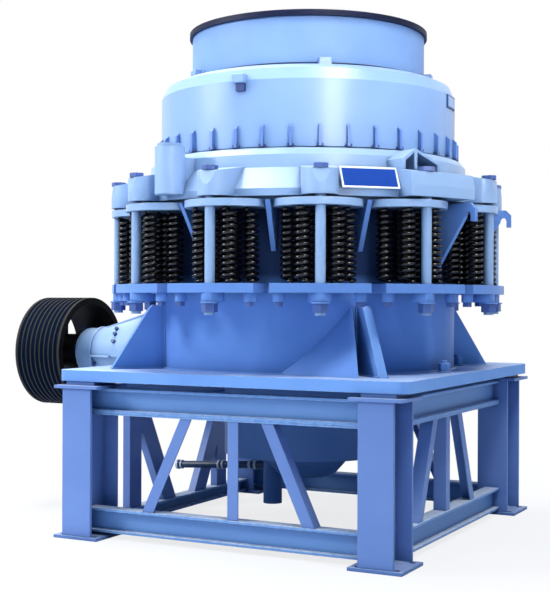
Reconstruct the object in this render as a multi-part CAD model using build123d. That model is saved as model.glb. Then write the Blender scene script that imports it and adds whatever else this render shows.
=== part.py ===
from build123d import *
import os
from math import radians, degrees, cos, sin, atan2

os.makedirs("parts", exist_ok=True)

# Spring cone crusher on a welded stand, in millimetres.
# The origin is on the ground under the crusher's upright axis. +Z is up, the
# stand's front faces -Y and the drive pulley is on the -X side.

# Crushing head, the size that such a crusher is known by
head_radius = 600
head_skirt = 25
mantle_low = 1425
mantle_top = 1830

# Barrel of the main frame, with room for the head inside it
barrel_room = 67
barrel_wall = 45
barrel_radius = head_radius + barrel_room + barrel_wall

# Base plate of the crusher, and the hole that the crushed rock falls through
plate_half = 858
plate_thickness = 50
plate_corner = 50
discharge_lip = 57
discharge_radius = barrel_radius - barrel_wall - discharge_lip

# Stand: four H columns on foot plates, tied by two rings of I beams
column_inset_x = 127
column_inset_y = 85
column_x = plate_half - column_inset_x
column_y = plate_half - column_inset_y
column_width = 154
column_depth = 220
column_flange = 14
column_web = 10
foot_thickness = 14
foot_margin_x = 41
foot_margin_y = 10
foot_width = column_width + 2 * foot_margin_x
foot_length = column_depth + 2 * foot_margin_y
anchor_hole = 28
anchor_edge = 34
cap_thickness = 14
pad_thickness = 18
pad_length = 160
bottom_beam_z = 28
top_beam_z = 573
beam_height = 108
beam_width = 74
beam_flange = 11
beam_web = 7
chord_thickness = 11
chord_inset = 3
column_top = top_beam_z + beam_height
plate_bottom = column_top + cap_thickness + pad_thickness
plate_top = plate_bottom + plate_thickness

# Braces: angle bars between the beams, given by their foot and head places
angle_face = 52
angle_depth = 60
angle_thickness = 6
front_bars = ((-398, -201, -1), (36, 36, -1), (398, 201, 1))
right_bars = ((-451, -265, -1), (-100, -100, -1), (251, 65, 1))
channel_face = 100
channel_depth = 40
left_sill_height = 66
left_posts = (430, -407)
left_bars = ((119, 377), (-179, -437))

# Flange on top of the barrel, with a round lobe for each spring group
flange_top = 1520
flange_thickness = 38
flange_overhang = 88
flange_radius = barrel_radius + flange_overhang
flange_bore_gap = 40
flange_bore = head_radius + flange_bore_gap
groups = 12
group_turn = -0.8
rod_reach = 208
rod_circle = barrel_radius + rod_reach
rod_diameter = 44
rod_clearance = 2
lobe_radius = 195
lobe_edge = 8
lobe_circle = rod_circle + rod_diameter / 2 + rod_clearance + lobe_edge - lobe_radius
lobe_drop = 6

# Springs: four inside and two outside in each group, round the rod
spring_diameter = 80
spring_wire = 14
outer_row = rod_circle - 38
outer_angle = 4.6
inner_row = rod_circle - 120
inner_angles = (3, 9)

# Lower spring seats, hung on the rods
spring_foot = 1156
seat_thickness = 40
seat_gap = 32
seat_rim = 26
seat_angle = 13
seat_boss = 100
seat_boss_height = 38
seat_boss_inset = 24
side_bolt_inset = 25
side_bolt_circle = rod_circle - side_bolt_inset
side_bolt_angle = 11
side_bolt_diameter = 24
side_boss_wall = 8
nut_across = 60
nut_height = 44
top_nut_height = 20
rod_end = 12
side_nut_across = 36
side_nut_height = 20

# Ribs under the flange, one between each two groups, four with lifting hooks
gusset_thickness = 22
gusset_reach = 130
gusset_toe = 12
gusset_height = 185
gusset_drop = 8
hook_reach = 268
hook_tip = 22
hook_drop = 80
hook_slot = 28
hook_arm = 36
hook_corner = 24
hook_edge_low = 1140

# Corner ribs, and the sloping web beside the front right one
rib_thickness = 40
rib_foot_reach = 253
rib_head_reach = 76
rib_top = 1062
rib_corner = 18
web_foot_reach = 228
web_foot_angle = -51
web_near_angle = -48.3
web_far_angle = -74.2
web_top = 1064

# Hub of the frame under the head, its arms, the drain and its pipe
hub_gap = 210
hub_radius = discharge_radius - hub_gap
hub_bottom = 346
hub_top = 1180
hub_cup_radius = 200
hub_cup_bottom = 232
arm_width = 170
arm_height = 230
drain_x = -186
drain_radius = 46
drain_bottom = 82
pipe_radius = 18
pipe_inner_z = 269
pipe_outer_z = 236
pipe_outer_x = -744

# Adjusting ring with a boss over each rod
ring_gap = 0.3
ring_low = flange_top + ring_gap
ring_top = 1745
ring_wall = 28
ring_head_width = 11
ring_shoulder_width = 51
ring_shoulder_low = 1655
ring_shoulder_high = 1712
ring_lip_inset = 68
ring_lip_radius = rod_circle - ring_lip_inset
ring_lip = 32
ring_seat_width = 44
thread_gap = 0.3
boss_inset = 42
boss_circle = rod_circle - boss_inset
boss_radius = 77
boss_outer_top = 1632
boss_inner_top = 1662
boss_chamfer_width = 11
boss_chamfer_height = 59
apron_angles = (-37, -14.2)
nut_seat = 1634
nut_seat_margin = 7

# Guard post and bracket of the adjusting gear, on the ring
post_circle = rod_circle - 40
post_angle = -107.5
post_radius = 66
post_low = 1545
post_top = 1768
post_step = 14
post_step_width = 10
post_web = 60
bracket_angle = -29.6
bracket_depth = 120
bracket_low = 1600
bracket_plate = 16
bracket_ridge = (-34, 1738)
bracket_left = (-106, 1692)
bracket_right = (103, 1680)

# Adjusting cap with its fins and lugs, and the feed hopper
cap_radius = 711
cap_wall = 16
cap_gap = 5
cap_bottom = ring_top + cap_gap
cap_shoulder = 2045
cap_height = 2122
cap_rounding = 82
fins = 36
fin_width = 19
fin_thickness = 12
fin_height = 98
fin_slope = 16
cap_lug_angles = (-126, -57, 10)
cap_lug_width = 56
cap_lug_depth = 46
cap_lug_height = 34
hopper_radius = 563
hopper_wall = 14
hopper_top = 2374
rim_width = 14
rim_height = 26

# Bowl with its liner: the places where the crushing chamber changes slope
bowl_gap = 15
bowl_bottom = 1482
bowl_shoulder = 1540
liner_setting = 35
liner_waist_z = 1700
liner_waist_radius = 470
liner_mouth_z = 1900
liner_mouth_radius = 500
bowl_rim = 20

# Countershaft, its box and the pulley
shaft_z = 808
shaft_diameter = 90
shaft_clearance = 0.08
shaft_length_in_box = 400
box_radius = 126
box_low_radius = 118
box_reach = 608
box_step_reach = 500
box_end = -(barrel_radius + box_reach)
box_step = -(barrel_radius + box_step_reach)
box_rounding = 38
box_flare_radius = 250
box_flare_low = 790
box_gap = 6
pulley_radius = 288
pulley_width = 284
pulley_overlap = 35
pulley_inner = box_end + pulley_overlap
pulley_outer = pulley_inner - pulley_width
pulley_rim = 34
pulley_web = 34
pulley_web_inset = 82
pulley_hub_radius = 92
pulley_hub_gap = 15
spokes = 5
spoke_width = 76
grooves = 9
groove_pitch = 29
groove_width = 22
groove_bottom = 9
groove_depth = 16


def turned(points):
    """A solid of revolution about the crusher's axis from (radius, z) points."""
    return revolve(Plane.XZ * make_face(Polyline(*points, close=True)), Axis.Z)


def tube(outer, inner, low, high):
    """An upright tube from one height to another."""
    return turned([(inner, low), (outer, low), (outer, high), (inner, high)])


def upright(radius, low, high, x, y):
    """An upright round bar at a place in plan."""
    bar = Cylinder(radius, high - low, align=(Align.CENTER, Align.CENTER, Align.MIN))
    return Pos(x, y, low) * bar


def block(x0, x1, y0, y1, z0, z1):
    """A box from its two corners."""
    box = Box(x1 - x0, y1 - y0, z1 - z0, align=(Align.MIN, Align.MIN, Align.MIN))
    return Pos(x0, y0, z0) * box


def plate_on_edge(points, thickness):
    """A plate in a plane through the axis, from (radius, z) points."""
    return extrude(Plane.XZ * make_face(Polyline(*points, close=True)), thickness / 2, both=True)


def along_x(radius, x0, x1):
    """A round bar along X on the countershaft's axis."""
    bar = Cylinder(radius, x1 - x0, align=(Align.CENTER, Align.CENTER, Align.MIN))
    return Pos(x0, 0, shaft_z) * Rot(0, 90, 0) * bar


def polar(radius, angle):
    """The plan point at a radius and an angle in degrees."""
    return radius * cos(radians(angle)), radius * sin(radians(angle))


def save(name, *solids):
    """Write one node as a STEP file."""
    flat = []
    for item in solids:
        flat.extend(item.solids())
    shape = flat[0] if len(flat) == 1 else Compound(flat)
    export_step(shape, "parts/" + name + ".step")


group_angles = [group_turn + 360 / groups * k for k in range(groups)]
rib_angles = [a + 180 / groups for a in group_angles]

# Columns: H sections with their flanges to the front and back
half_w = column_width / 2
half_d = column_depth / 2
inner_d = half_d - column_flange
half_web = column_web / 2
h_points = [
    (-half_w, -half_d), (half_w, -half_d), (half_w, -inner_d), (half_web, -inner_d),
    (half_web, inner_d), (half_w, inner_d), (half_w, half_d), (-half_w, half_d),
    (-half_w, inner_d), (-half_web, inner_d), (-half_web, -inner_d), (-half_w, -inner_d),
]
h_face = make_face(Polyline(*h_points, close=True))
column = Pos(0, 0, foot_thickness) * extrude(h_face, column_top - foot_thickness)
places = {
    "front_left": (-column_x, -column_y), "front_right": (column_x, -column_y),
    "back_left": (-column_x, column_y), "back_right": (column_x, column_y),
}
for side, (x, y) in places.items():
    save("column_" + side, Pos(x, y, 0) * column)

# Foot plates with four anchor holes each, and cap plates with packing pads
foot = Pos(0, 0, foot_thickness / 2) * Box(foot_width, foot_length, foot_thickness)
hole_x = foot_width / 2 - anchor_edge
hole_y = foot_length / 2 - anchor_edge
for hx in (-hole_x, hole_x):
    for hy in (-hole_y, hole_y):
        foot -= upright(anchor_hole / 2, 0, foot_thickness, hx, hy)
save("foot_plates", *[Pos(x, y, 0) * foot for x, y in places.values()])
cap_plate = Pos(0, 0, column_top + cap_thickness / 2) * Box(foot_width, foot_length, cap_thickness)
cap_plate += Pos(0, 0, plate_bottom - pad_thickness / 2) * Box(column_width, pad_length, pad_thickness)
save("cap_plates", *[Pos(x, y, 0) * cap_plate for x, y in places.values()])

# Beams: I sections between the columns, the top ones with a flat underneath
half_b = beam_width / 2
half_bw = beam_web / 2


def i_section(height):
    """The cross-section of an I beam, standing on its lower flange."""
    high = height - beam_flange
    return make_face(Polyline(
        (-half_b, 0), (half_b, 0), (half_b, beam_flange), (half_bw, beam_flange), (half_bw, high), (half_b, high),
        (half_b, height), (-half_b, height), (-half_b, high), (-half_bw, high), (-half_bw, beam_flange),
        (-half_b, beam_flange), close=True))


half_chord = half_b - chord_inset
chord_face = make_face(Polyline(
    (-half_chord, -chord_thickness), (half_chord, -chord_thickness), (half_chord, 0), (-half_chord, 0),
    close=True))
long_x = column_x - half_web
long_y = column_y - half_d


def beam_along_x(face, y, z):
    """A beam between two columns of the front or the back."""
    return Pos(-long_x, y, z) * extrude(Plane.YZ * face, 2 * long_x)


def beam_along_y(face, x, z):
    """A beam between two columns of one side."""
    return Pos(x, long_y, z) * extrude(Plane.XZ * face, 2 * long_y)


i_face = i_section(beam_height)
top_face = i_face + chord_face
save("bottom_beams",
     beam_along_x(i_face, -column_y, bottom_beam_z), beam_along_x(i_face, column_y, bottom_beam_z),
     beam_along_y(i_face, column_x, bottom_beam_z),
     beam_along_y(i_section(left_sill_height), -column_x, foot_thickness))
save("top_beams",
     beam_along_x(top_face, -column_y, top_beam_z), beam_along_x(top_face, column_y, top_beam_z),
     beam_along_y(top_face, column_x, top_beam_z), beam_along_y(top_face, -column_x, top_beam_z))

# Braces: angle bars cut level between the lower beams and the flats
brace_low = bottom_beam_z + beam_height
brace_high = top_beam_z - chord_thickness


def raked(points, foot_at, head_at, low):
    """A bar of one section in the XZ plane, cut level at its foot and its head."""
    rake = degrees(atan2(head_at - foot_at, brace_high - low))
    spare = channel_face
    bar = extrude(make_face(Polyline(*points, close=True)), brace_high - low + 3 * spare)
    bar = Pos(foot_at, 0, low) * Rot(0, rake, 0) * Pos(0, 0, -spare) * bar
    return bar & block(-column_x, column_x, -angle_depth, angle_depth, low, brace_high)


def angle_bar(foot_at, head_at, leg_side):
    """An angle bar with its flat face to -Y and its leg on one side."""
    half_face = angle_face / 2
    half_depth = angle_depth / 2
    inner = half_face - angle_thickness
    points = [
        (-half_face, -half_depth), (half_face, -half_depth), (half_face, half_depth),
        (inner, half_depth), (inner, -half_depth + angle_thickness), (-half_face, -half_depth + angle_thickness),
    ]
    return raked([(x * leg_side, y) for x, y in points], foot_at, head_at, brace_low)


left_low = foot_thickness + left_sill_height


def channel_bar(foot_at, head_at):
    """A channel bar, open to -Y."""
    half_face = channel_face / 2
    half_depth = channel_depth / 2
    inner = half_face - angle_thickness
    points = [
        (-half_face, -half_depth), (-inner, -half_depth), (-inner, half_depth - angle_thickness),
        (inner, half_depth - angle_thickness), (inner, -half_depth), (half_face, -half_depth),
        (half_face, half_depth), (-half_face, half_depth),
    ]
    return raked(points, foot_at, head_at, left_low)


def brace_side(bars, x, y, turn):
    """The bars of one side of the stand, turned to face outwards."""
    return [Pos(x, y, 0) * Rot(0, 0, turn) * angle_bar(*bar) for bar in bars]


save("front_braces", *brace_side(front_bars, 0, -column_y, 0))
save("back_braces", *brace_side(front_bars, 0, column_y, 180))
save("right_braces", *brace_side(right_bars, column_x, 0, 90))
left_frames = [channel_bar(post, post) + channel_bar(*bar) for post, bar in zip(left_posts, left_bars)]
save("left_braces", *[Pos(-column_x, 0, 0) * Rot(0, 0, -90) * bars for bars in left_frames])

# Base plate with rounded corners, its discharge hole and a slot for the box
plate_face = RectangleRounded(2 * plate_half, 2 * plate_half, plate_corner)
plate = Pos(0, 0, plate_bottom) * extrude(plate_face, plate_thickness)
plate -= upright(discharge_radius, plate_bottom, plate_top, 0, 0)
slot = box_low_radius + box_gap
plate -= block(-plate_half, 0, -slot, slot, plate_bottom, plate_top)
save("base_plate", plate)

# Barrel of the main frame, with a hole for the countershaft box
flange_low = flange_top - flange_thickness
inner_r = barrel_radius - barrel_wall
hole = box_radius + box_gap
barrel = tube(barrel_radius, inner_r, plate_top, flange_low)
barrel -= along_x(hole, -barrel_radius - barrel_wall, 0)
barrel -= block(-barrel_radius - barrel_wall, 0, -hole, hole, plate_top, shaft_z)
save("frame_barrel", barrel)

# Spring flange: a ring with round lobes, bored for the rods
lobe_top = flange_top - lobe_drop
flange = tube(flange_radius, flange_bore, flange_low, flange_top)
for a in group_angles:
    flange += upright(lobe_radius, flange_low, lobe_top, *polar(lobe_circle, a))
flange -= upright(flange_bore, flange_low, flange_top, 0, 0)
for a in group_angles:
    flange -= upright(rod_diameter / 2 + rod_clearance, flange_low, flange_top, *polar(rod_circle, a))
save("frame_flange", flange)

# Ribs between the groups, up past the flange's edge
gusset_radius = barrel_radius + gusset_reach
gusset_top = flange_top - gusset_drop
gusset_low = flange_low - gusset_height
gusset_points = [
    (barrel_radius, flange_low), (flange_radius, flange_low), (flange_radius, gusset_top),
    (gusset_radius, gusset_top), (barrel_radius + gusset_toe, gusset_low), (barrel_radius, gusset_low),
]
gusset = plate_on_edge(gusset_points, gusset_thickness)
gusset -= upright(barrel_radius, gusset_low, flange_low, 0, 0)
gusset -= upright(flange_radius, flange_low, flange_top, 0, 0)
hook_angles = [rib_angles[k] for k in (-1, 0, groups // 2 - 1, groups // 2)]
save("flange_ribs", *[Rot(0, 0, a) * gusset for a in rib_angles if a not in hook_angles])

# Lifting hooks: four deeper ribs that end in a hook outside the springs
hook_outer = barrel_radius + hook_reach
hook_inner = hook_outer - hook_tip
hook_edge = hook_inner - hook_slot
hook_arm_low = gusset_top - hook_arm
hook_points = [
    (barrel_radius, flange_low), (flange_radius, flange_low), (flange_radius, gusset_top),
    (hook_outer - hook_corner, gusset_top), (hook_outer, gusset_top - hook_corner),
    (hook_outer, gusset_top - hook_drop), (hook_inner, gusset_top - hook_drop),
    (hook_inner, hook_arm_low - hook_slot / 2), (hook_inner - hook_slot / 4, hook_arm_low),
    (hook_edge + hook_slot / 4, hook_arm_low), (hook_edge, hook_arm_low - hook_slot / 2),
    (hook_edge, gusset_top - hook_drop + hook_corner),
    (barrel_radius + gusset_toe, hook_edge_low), (barrel_radius, hook_edge_low),
]
hook = plate_on_edge(hook_points, gusset_thickness)
hook -= upright(barrel_radius, hook_edge_low, flange_low, 0, 0)
hook -= upright(flange_radius, flange_low, flange_top, 0, 0)
for s in (-1, 1):
    hook -= upright(lobe_radius, flange_low, flange_top, *polar(lobe_circle, s * 180 / groups))
save("lifting_lugs", *[Rot(0, 0, a) * hook for a in hook_angles])

# Corner ribs from the barrel to the plate's corners
rib_foot = barrel_radius + rib_foot_reach
rib_head = barrel_radius + rib_head_reach
rib = plate_on_edge([
    (inner_r, plate_top), (rib_foot, plate_top), (rib_head, rib_top - rib_corner),
    (rib_head - rib_corner, rib_top), (inner_r, rib_top)], rib_thickness)
rib -= upright(barrel_radius, plate_top, rib_top, 0, 0)
save("corner_ribs", *[Rot(0, 0, a) * rib for a in (-135, -45, 45, 135)])

# Sloping web: a wedge between the barrel, the plate and a sloping face
near = (*polar(barrel_radius, web_near_angle), web_top)
far = (*polar(barrel_radius, web_far_angle), plate_top)
toe = (*polar(barrel_radius + web_foot_reach, web_foot_angle), plate_top)
foot_face = make_face(Polyline(
    far[:2], toe[:2], near[:2], polar(inner_r, web_near_angle), polar(inner_r, web_far_angle), close=True))
wedge = Pos(0, 0, plate_top) * extrude(foot_face, web_top - plate_top)
slope = Plane(Face(Wire.make_polygon([Vector(*near), Vector(*far), Vector(*toe)])))
wedge = split(wedge, bisect_by=slope, keep=Keep.BOTTOM)
wedge -= upright(barrel_radius, plate_top, web_top, 0, 0)
save("corner_web", wedge)


# Springs stand in for coils as plain tubes between the lower seat and the lobe
def spring_at(radius, angle):
    """One spring's outline."""
    place = polar(radius, angle)
    coil = upright(spring_diameter / 2, spring_foot, flange_low, *place)
    return coil - upright(spring_diameter / 2 - spring_wire, spring_foot, flange_low, *place)


save("outer_springs", *[spring_at(outer_row, a + s * outer_angle) for a in group_angles for s in (-1, 1)])
save("inner_springs", *[
    spring_at(inner_row, a + s * t) for a in group_angles for t in inner_angles for s in (-1, 1)])

# Lower seats: a curved plate with a boss under each bolt
seat_inner = barrel_radius + seat_gap
seat_outer = rod_circle + seat_rim
seat_low = spring_foot - seat_thickness
boss_low = seat_low - seat_boss_height
past_rim = seat_outer + seat_thickness
sector = Pos(0, 0, seat_low) * extrude(make_face(Polyline(
    (0, 0), polar(past_rim, -seat_angle), polar(past_rim, seat_angle), close=True)), seat_thickness)
seat = tube(seat_outer, seat_inner, seat_low, spring_foot) & sector
seat += upright(seat_boss / 2, boss_low, seat_low, rod_circle - seat_boss_inset, 0) & tube(
    seat_outer, seat_inner, boss_low, seat_low)
for s in (-1, 1):
    place = polar(side_bolt_circle, s * side_bolt_angle)
    seat += upright(side_nut_across / 2 + side_boss_wall, boss_low, seat_low, *place)
    seat -= upright(side_bolt_diameter / 2, boss_low, spring_foot, *place)
seat -= upright(rod_diameter / 2, boss_low, spring_foot, rod_circle, 0)
save("lower_seats", *[Rot(0, 0, a) * seat for a in group_angles])

# Rods from the ring's bosses down through the flange and the lower seats
rod = upright(rod_diameter / 2, boss_low - nut_height - rod_end, nut_seat + top_nut_height, rod_circle, 0)
save("spring_rods", *[Rot(0, 0, a) * rod for a in group_angles])


def hex_nut(height, low, angle):
    """A hexagon nut on a rod."""
    nut = extrude(RegularPolygon(nut_across / 2, 6, major_radius=False), height)
    nut -= Cylinder(rod_diameter / 2, height, align=(Align.CENTER, Align.CENTER, Align.MIN))
    x, y = polar(rod_circle, angle)
    return Pos(x, y, low) * Rot(0, 0, angle) * nut


nuts = [hex_nut(nut_height, boss_low - nut_height, a) for a in group_angles]
nuts += [hex_nut(top_nut_height, nut_seat, a) for a in group_angles]
save("rod_nuts", *nuts)
bolts = []
for a in group_angles:
    for s in (-1, 1):
        x, y = polar(side_bolt_circle, a + s * side_bolt_angle)
        head = extrude(RegularPolygon(side_nut_across / 2, 6, major_radius=False), side_nut_height)
        bolts.append(upright(side_bolt_diameter / 2, boss_low, spring_foot, x, y)
                     + Pos(x, y, boss_low - side_nut_height) * head)
save("side_bolts", *bolts)

# Adjusting ring: a drum on a cone with a lip, and a boss over each rod
ring_bore = cap_radius + ring_head_width - ring_wall
ring_head = cap_radius + ring_head_width
ring_shoulder = cap_radius + ring_shoulder_width
lip_low = ring_low + lobe_drop
ring = turned([
    (ring_bore, ring_low + 2 * ring_seat_width), (flange_radius - ring_seat_width, ring_low),
    (flange_radius, ring_low), (flange_radius, lip_low), (ring_lip_radius, lip_low),
    (ring_lip_radius, lip_low + ring_lip), (ring_shoulder + 4, ring_shoulder_low),
    (ring_shoulder, ring_shoulder_high), ((ring_head + ring_shoulder) / 2, ring_top - 8),
    (ring_head, ring_top), (ring_bore, ring_top)])
boss_outer = boss_circle + boss_radius
boss_shape = turned([
    (flange_radius, lip_low), (boss_outer, lip_low), (boss_outer, boss_outer_top - boss_chamfer_height),
    (boss_outer - boss_chamfer_width, boss_outer_top), (ring_shoulder, boss_inner_top),
    (cap_radius, boss_inner_top), (cap_radius, ring_low + 2 * ring_seat_width)])
boss = upright(boss_radius, lip_low, boss_inner_top, boss_circle, 0)
boss += block(ring_bore, boss_circle, -boss_radius, boss_radius, lip_low, boss_inner_top)
boss = boss & boss_shape
apron_face = make_face(Polyline((0, 0), *[polar(2 * boss_outer, a) for a in apron_angles], close=True))
ring += Pos(0, 0, lip_low) * extrude(apron_face, boss_inner_top - lip_low) & boss_shape
for a in group_angles:
    ring += Rot(0, 0, a) * boss
    ring -= upright(nut_across / 2 + nut_seat_margin, nut_seat, boss_inner_top, *polar(rod_circle, a))
ring -= upright(ring_bore, ring_low, ring_top, 0, 0)
for a in group_angles:
    ring -= upright(rod_diameter / 2, lip_low, boss_inner_top, *polar(rod_circle, a))
save("adjusting_ring", ring)

# Guard post of the adjusting gear, joined to the ring by a web
guard = upright(post_radius, post_low, post_top - post_step, post_circle, 0)
guard += upright(post_radius - post_step_width, post_top - post_step, post_top, post_circle, 0)
guard += block(flange_radius - ring_seat_width, post_circle, -post_web / 2, post_web / 2, post_low, ring_shoulder_high)
save("guard_post", Rot(0, 0, post_angle) * guard - ring)

# Bracket: a folded roof plate on three legs, over the ring's slope
outline = [
    (bracket_left[0], bracket_low), bracket_left, bracket_ridge, bracket_right, (bracket_right[0], bracket_low)]
roof = [(t, z - bracket_plate) for t, z in (bracket_left, bracket_ridge, bracket_right)]
left_bay = [
    (bracket_left[0] + bracket_plate, bracket_low), (bracket_left[0] + bracket_plate, roof[0][1] + bracket_plate / 2),
    (bracket_ridge[0] - bracket_plate / 2, roof[1][1]), (bracket_ridge[0] - bracket_plate / 2, bracket_low)]
right_bay = [
    (bracket_ridge[0] + bracket_plate / 2, bracket_low), (bracket_ridge[0] + bracket_plate / 2, roof[1][1]),
    (bracket_right[0] - bracket_plate, roof[2][1] + bracket_plate / 2), (bracket_right[0] - bracket_plate, bracket_low)]
bracket_inner = ring_shoulder - bracket_plate
profile = make_face(Polyline(*outline, close=True))
for bay in (left_bay, right_bay):
    profile -= make_face(Polyline(*bay, close=True))
bracket = Pos(bracket_inner, 0, 0) * extrude(Plane.YZ * profile, bracket_depth)
save("ring_bracket", Rot(0, 0, bracket_angle) * bracket - ring)

# Adjusting cap: a deep skirt with a rounded shoulder, a flat top and lugs
cap_under = cap_height - cap_wall
mouth = hopper_radius - hopper_wall
cap = turned([
    (mouth, cap_under), (cap_radius - cap_rounding, cap_under),
    (cap_radius - cap_wall, cap_shoulder), (cap_radius - cap_wall, cap_bottom),
    (cap_radius, cap_bottom), (cap_radius, cap_shoulder),
    (cap_radius - cap_rounding * 0.3, cap_shoulder + (cap_height - cap_shoulder) * 0.68),
    (cap_radius - cap_rounding, cap_height), (mouth, cap_height)])
cap_lug = block(
    hopper_radius, hopper_radius + cap_lug_depth, -cap_lug_width / 2, cap_lug_width / 2,
    cap_under, cap_height + cap_lug_height)
cap_lug -= upright(hopper_radius, cap_under, cap_height + cap_lug_height, 0, 0)
for a in cap_lug_angles:
    cap += Rot(0, 0, a) * cap_lug
save("adjusting_cap", cap)
fin = plate_on_edge([
    (cap_radius - cap_wall, cap_bottom), (cap_radius + fin_width, cap_bottom),
    (cap_radius + fin_width, cap_bottom + fin_height - fin_slope), (cap_radius, cap_bottom + fin_height),
    (cap_radius - cap_wall, cap_bottom + fin_height)], fin_thickness)
fin -= upright(cap_radius, cap_bottom, cap_bottom + fin_height, 0, 0)
save("cap_fins", *[Rot(0, 0, 360 / fins * k) * fin for k in range(fins)])

# Feed hopper with its rim
rim_low = hopper_top - rim_height
save("hopper", tube(hopper_radius, mouth, cap_height, rim_low))
save("hopper_rim", tube(hopper_radius + rim_width, mouth, rim_low, hopper_top))

# Bowl with its liner, screwed into the ring and hung under the cap
thread_radius = ring_bore - thread_gap
skirt = cap_radius - cap_wall
bowl_radius = flange_bore - bowl_gap
bowl = turned([
    (mouth - bowl_rim, cap_under), (mouth, cap_under), (mouth, liner_mouth_z - 2 * bowl_rim),
    (skirt, cap_bottom + 2 * bowl_rim), (skirt, ring_top + cap_gap), (thread_radius, ring_top),
    (thread_radius, bowl_shoulder + bowl_rim), (bowl_radius, bowl_shoulder), (bowl_radius, bowl_bottom),
    (bowl_radius - liner_setting, bowl_bottom), (liner_waist_radius + liner_setting, mantle_low + 4 * liner_setting),
    (liner_waist_radius, liner_waist_z), (liner_mouth_radius, liner_mouth_z)])
save("bowl_liner", bowl)

# Crushing head with its feed plate on top
plate_seat = mantle_top - 60
save("crushing_head", turned([
    (0, hub_top), (head_radius * 0.87, mantle_low - 95), (head_radius, mantle_low - head_skirt),
    (head_radius, mantle_low), (head_radius * 0.8, mantle_low + 115), (head_radius * 0.55, mantle_low + 235),
    (head_radius * 0.42, plate_seat), (0, plate_seat)]))
save("feed_plate", turned([
    (0, plate_seat), (head_radius * 0.32, plate_seat), (head_radius * 0.32, plate_seat + 20),
    (head_radius * 0.2, mantle_top), (0, mantle_top)]))

# Hub of the main frame with a cup below, and four arms to the barrel
hub = turned([
    (0, hub_cup_bottom), (hub_cup_radius * 0.55, hub_cup_bottom), (hub_cup_radius * 0.72, hub_cup_bottom + 16),
    (hub_cup_radius * 0.96, hub_cup_bottom + 70), (hub_cup_radius, hub_cup_bottom + 98),
    (hub_cup_radius, hub_bottom), (hub_radius, hub_bottom), (hub_radius, hub_top), (0, hub_top)])
for a in (0, 90, 180, 270):
    hub += Rot(0, 0, a) * block(0, inner_r, -arm_width / 2, arm_width / 2, plate_top, plate_top + arm_height)
hub = hub & upright(inner_r, hub_cup_bottom, hub_top, 0, 0)
save("hub_and_arms", hub)

# Drain under the hub, and its pipe
drain = upright(drain_radius, drain_bottom, hub_bottom, drain_x, 0)
save("drain_duct", drain - hub)
pipe_inner_x = drain_x
run = atan2(pipe_inner_z - pipe_outer_z, pipe_inner_x - pipe_outer_x)
pipe_length = (pipe_inner_x - pipe_outer_x) / cos(run)
pipe = Cylinder(pipe_radius, pipe_length, align=(Align.CENTER, Align.CENTER, Align.MIN))
pipe = Pos(pipe_outer_x, 0, pipe_outer_z) * Rot(0, 90 - degrees(run), 0) * pipe
save("drain_pipe", pipe - upright(drain_radius, drain_bottom, hub_bottom, drain_x, 0))

# Countershaft box: a round housing with a rounded nose that flares to the barrel
nose = along_x(box_radius, box_end, box_step)
nose = fillet(nose.faces().sort_by(Axis.X)[0].edges(), min(box_rounding, box_radius - shaft_diameter))
flare = turned([(0, 0), (box_radius, 0), (box_flare_radius, box_step_reach), (0, box_step_reach)])
flare = Pos(box_step, 0, shaft_z) * Rot(0, 90, 0) * flare
flare = flare & block(box_step, 0, -box_flare_radius, box_flare_radius, box_flare_low, shaft_z + box_flare_radius)
flare -= upright(barrel_radius, plate_top, rib_top + box_flare_radius, 0, 0)
housing = nose + along_x(box_low_radius, box_step, -inner_r) + flare
housing -= along_x(shaft_diameter / 2 + shaft_clearance, box_end, box_end + shaft_length_in_box + box_gap)
save("countershaft_box", housing)

# Countershaft and its pulley: grooved rim, spokes and a hub
save("countershaft", along_x(shaft_diameter / 2, pulley_outer + box_gap, box_end + shaft_length_in_box))
rim_inner = pulley_radius - pulley_rim
groove_start = (pulley_width - (grooves - 1) * groove_pitch) / 2
rim_points = [(rim_inner, 0), (pulley_radius, 0)]
for k in range(grooves):
    middle = groove_start + k * groove_pitch
    rim_points += [
        (pulley_radius, middle - groove_width / 2), (pulley_radius - groove_depth, middle - groove_bottom / 2),
        (pulley_radius - groove_depth, middle + groove_bottom / 2), (pulley_radius, middle + groove_width / 2)]
rim_points += [(pulley_radius, pulley_width), (rim_inner, pulley_width)]
wheel = Pos(pulley_outer, 0, shaft_z) * Rot(0, 90, 0) * turned(rim_points)
wheel += along_x(pulley_hub_radius, pulley_outer + 2 * pulley_hub_gap, box_end - pulley_hub_gap)
web_low = pulley_outer + pulley_web_inset - pulley_web / 2
for k in range(spokes):
    spoke = block(web_low, web_low + pulley_web, -spoke_width / 2, spoke_width / 2, 0, rim_inner + pulley_rim / 4)
    wheel += Pos(0, 0, shaft_z) * Rot(360 / spokes * k, 0, 0) * spoke
wheel -= along_x(shaft_diameter / 2, pulley_outer, pulley_inner)
save("pulley", wheel)
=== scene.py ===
import math
import bpy
from mathutils import Matrix, Vector


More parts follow.
